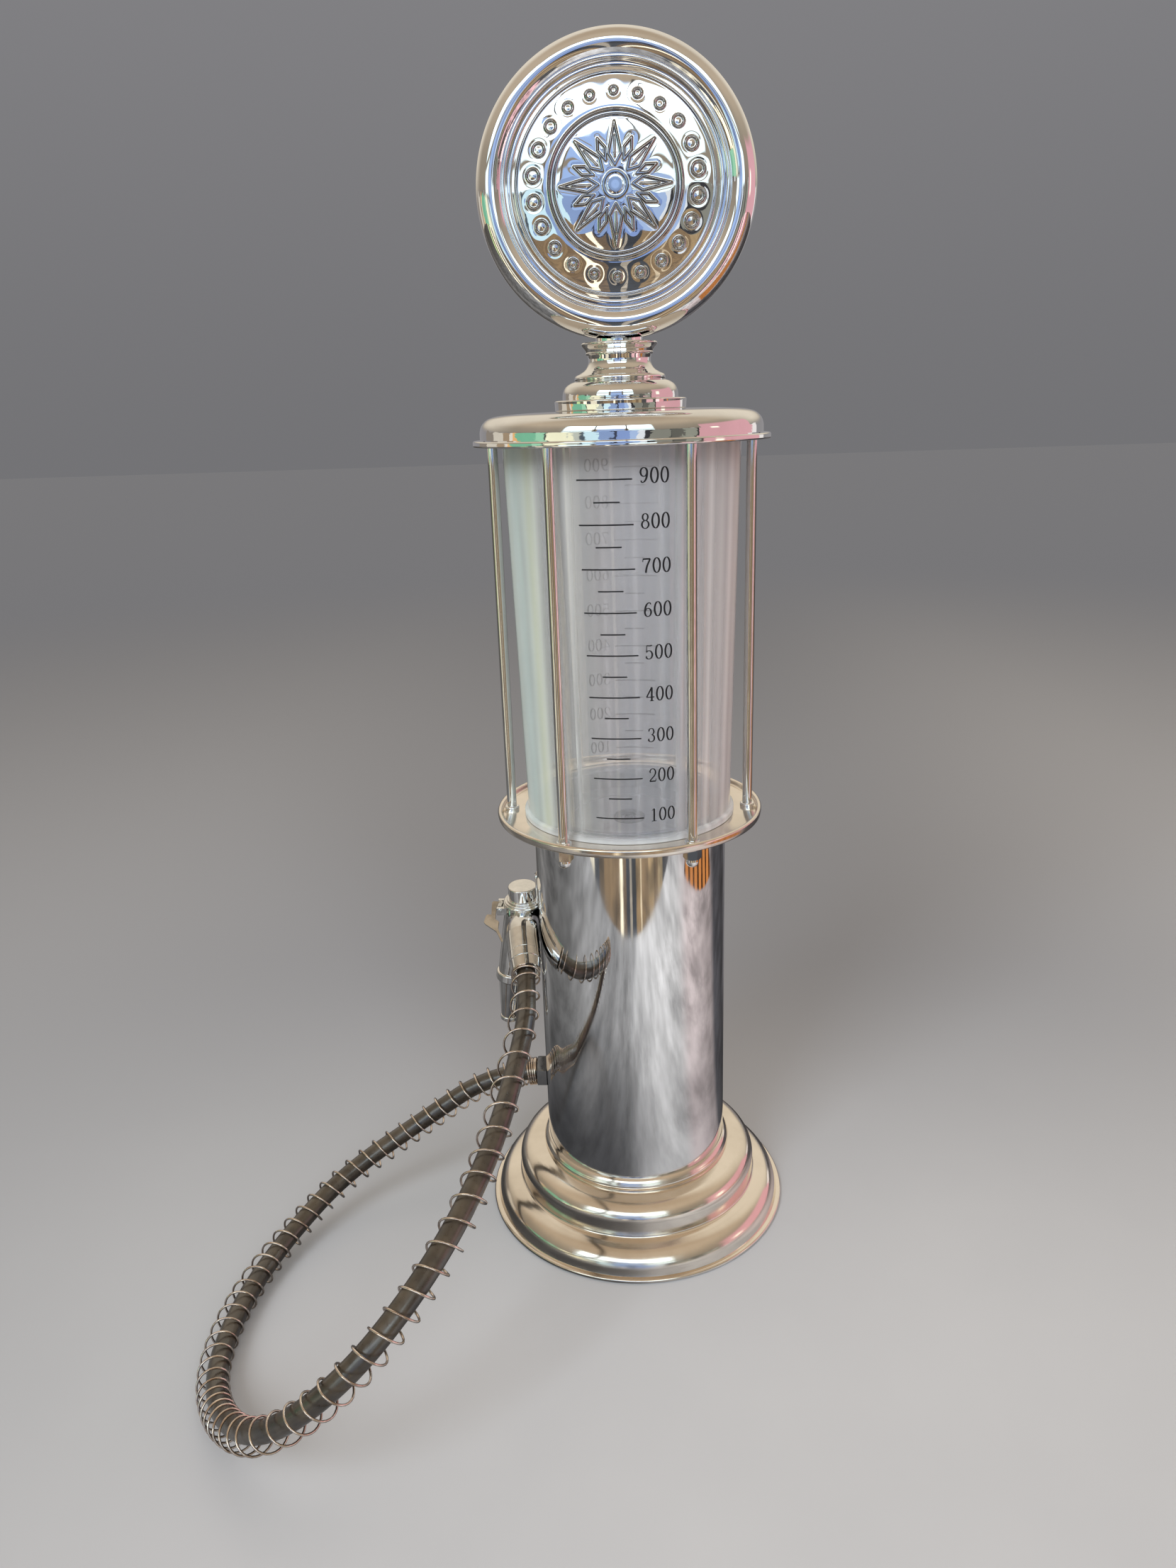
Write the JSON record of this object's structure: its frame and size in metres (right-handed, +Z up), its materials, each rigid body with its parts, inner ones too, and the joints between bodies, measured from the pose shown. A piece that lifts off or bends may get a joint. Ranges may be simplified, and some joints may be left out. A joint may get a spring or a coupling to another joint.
{
  "type": "liquor pump",
  "caption": "Chrome counter-top liquor dispenser shaped like a retro fuel pump: clear tank in a rod cage, lift-off lid with round sign, spring-wrapped hose and trigger nozzle.",
  "frame": {"origin": "centre of the round base, on the ground under the foot pad", "axes": "+Z up the column; the sign's front faces -Y; the nozzle and the hose are on the -X side"},
  "size_m": [0.2466, 0.2572, 0.4976],
  "materials": {
    "chrome": "bright chrome plating, polished",
    "zinc_steel": "bright zinc-plated steel",
    "spring_steel": "round spring wire, slightly warm bright finish",
    "felt_pad": "black pressed felt",
    "clear_tank": "clear moulded plastic, glossy, with printed scale",
    "clear_gasket": "pale silicone",
    "white_plastic": "white moulded plastic",
    "seal_rubber": "black rubber",
    "clear_hose": "milky soft vinyl tube",
    "dark_hose": "dark brown-black soft vinyl hose, satin",
    "brass": "turned brass"
  },
  "bodies": {
    "stand": {"base_skirt": "chrome", "base_plate": "zinc_steel", "foot_pad": "felt_pad", "base_screws": "zinc_steel", "column_foot": "zinc_steel", "column_collar": "chrome", "column": "chrome", "gallery": "chrome", "rods": "chrome", "rod_bosses": "chrome", "acorn_nuts": "chrome", "top_ring": "chrome", "tank": "clear_tank", "tank_gasket": "clear_gasket", "outlet_spigot": "white_plastic", "outlet_nut": "white_plastic", "outlet_washer": "seal_rubber", "drain_tube": "clear_hose", "port_fitting": "chrome", "port_nut": "zinc_steel", "port_washer": "seal_rubber", "hose": "dark_hose", "hose_spring": "spring_steel", "hanger": "chrome", "hanger_rivets": "chrome"},
    "lid": {"lid_dome": "chrome", "neck": "chrome", "neck_screw": "zinc_steel", "sign_front": "chrome", "sign_back": "chrome", "sign_hoop": "zinc_steel", "sign_stud": "zinc_steel", "sign_nut": "zinc_steel"},
    "nozzle": {"valve_body": "chrome", "valve_cap": "chrome", "valve_spring": "zinc_steel", "handle_sleeve": "chrome", "handle_ferrule": "chrome", "hose_barb": "brass", "spout_nut": "chrome", "spout": "chrome", "trigger_pin": "chrome", "nozzle_bail": "chrome"},
    "trigger": {"trigger": "chrome"},
    "stem": {"valve_stem": "zinc_steel", "stem_seal": "seal_rubber"}
  },
  "joints": [
    {"name": "lid_lift", "type": "slide", "parent": "stand", "child": "lid", "axis": [0, 0, 1], "range_m": [0, 0.05]},
    {"name": "nozzle_unhook", "type": "slide", "parent": "stand", "child": "nozzle", "axis": [-0.6878, 0.1639, 0.7071], "range_m": [0, 0.04]},
    {"name": "trigger_pivot", "type": "hinge", "parent": "nozzle", "child": "trigger", "pos_m": [-0.0623, 0.01318, 0.14484], "axis": [0, -0.9962, -0.0872], "range_deg": [0, 8], "stiffness_Nm_per_rad": 0.02, "springref_deg": -8.59},
    {"name": "stem_slide", "type": "slide", "parent": "nozzle", "child": "stem", "axis": [0, -0.0872, 0.9962], "range_m": [0, 0.00154], "stiffness_N_per_m": 0.3, "springref_m": 0.0549, "deforming": ["valve_spring"]}
  ],
  "couplings": [
    {"joint": "trigger_pivot", "follows": "stem_slide", "rad_per_m": 90.09}
  ]
}
